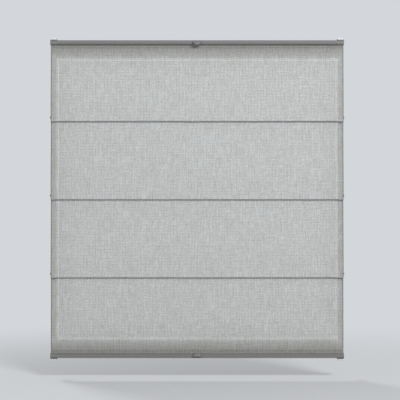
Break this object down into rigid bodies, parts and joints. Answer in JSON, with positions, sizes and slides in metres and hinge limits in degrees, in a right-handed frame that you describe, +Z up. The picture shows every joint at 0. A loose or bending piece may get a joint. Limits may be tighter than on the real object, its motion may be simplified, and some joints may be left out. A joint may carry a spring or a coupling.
{
  "type": "roman blind",
  "caption": "Roman blind on tight side cords: folded linen-look cloth between slim aluminium rails moved by hand, with clamps that hook over a window sash.",
  "frame": {"origin": "middle of the sash's upper edge, on the sash's room face", "axes": "+X along the rails to the right as seen from the room, +Y from the room to the window, +Z up"},
  "size_m": [0.9822, 0.063, 1.0764],
  "materials": {
    "linen_cloth": "matte",
    "anodised_rail": "satin",
    "grey_plastic": "matte",
    "white_plastic": "satin",
    "pad_rubber": "matte",
    "zinc_steel": "satin",
    "cord_polyester": "matte",
    "rod_plastic": "satin"
  },
  "bodies": {
    "frame": {"clamp_pads": "pad_rubber", "clamp_screws": "zinc_steel", "cloth": "linen_cloth", "cord_beads": "zinc_steel", "left_cord": "cord_polyester", "lower_left_clamp": "white_plastic", "lower_left_shoe": "grey_plastic", "lower_right_clamp": "white_plastic", "lower_right_shoe": "grey_plastic", "right_cord": "cord_polyester", "shoe_screws": "zinc_steel", "upper_left_clamp": "white_plastic", "upper_left_shoe": "grey_plastic", "upper_right_clamp": "white_plastic", "upper_right_shoe": "grey_plastic", "upper_rod": "rod_plastic", "upper_rod_left_guide": "grey_plastic", "upper_rod_right_guide": "grey_plastic"},
    "top_rail": {"top_cap_pins": "zinc_steel", "top_cloth_strip": "rod_plastic", "top_cross_cords": "cord_polyester", "top_handle": "grey_plastic", "top_left_cap": "grey_plastic", "top_rail": "anodised_rail", "top_right_cap": "grey_plastic"},
    "bottom_rail": {"bottom_cap_pins": "zinc_steel", "bottom_cloth_strip": "rod_plastic", "bottom_cross_cords": "cord_polyester", "bottom_handle": "grey_plastic", "bottom_left_cap": "grey_plastic", "bottom_rail": "anodised_rail", "bottom_right_cap": "grey_plastic"},
    "middle_rod": {"middle_rod": "rod_plastic", "middle_rod_left_guide": "grey_plastic", "middle_rod_right_guide": "grey_plastic"},
    "lower_rod": {"lower_rod": "rod_plastic", "lower_rod_left_guide": "grey_plastic", "lower_rod_right_guide": "grey_plastic"}
  },
  "joints": [
    {"name": "top_rail_slide", "type": "slide", "parent": "frame", "child": "top_rail", "axis": [0, 0, -1], "range_m": [0, 0.205], "deforming": ["cloth"]},
    {"name": "bottom_rail_slide", "type": "slide", "parent": "frame", "child": "bottom_rail", "axis": [0, 0, 1], "range_m": [0, 0.672], "deforming": ["cloth"]},
    {"name": "middle_rod_slide", "type": "slide", "parent": "frame", "child": "middle_rod", "axis": [0, 0, 1], "range_m": [0, 0.224]},
    {"name": "lower_rod_slide", "type": "slide", "parent": "frame", "child": "lower_rod", "axis": [0, 0, 1], "range_m": [0, 0.448]}
  ],
  "couplings": [
    {"joint": "middle_rod_slide", "follows": "bottom_rail_slide", "ratio": 0.33333},
    {"joint": "lower_rod_slide", "follows": "bottom_rail_slide", "ratio": 0.66667}
  ]
}
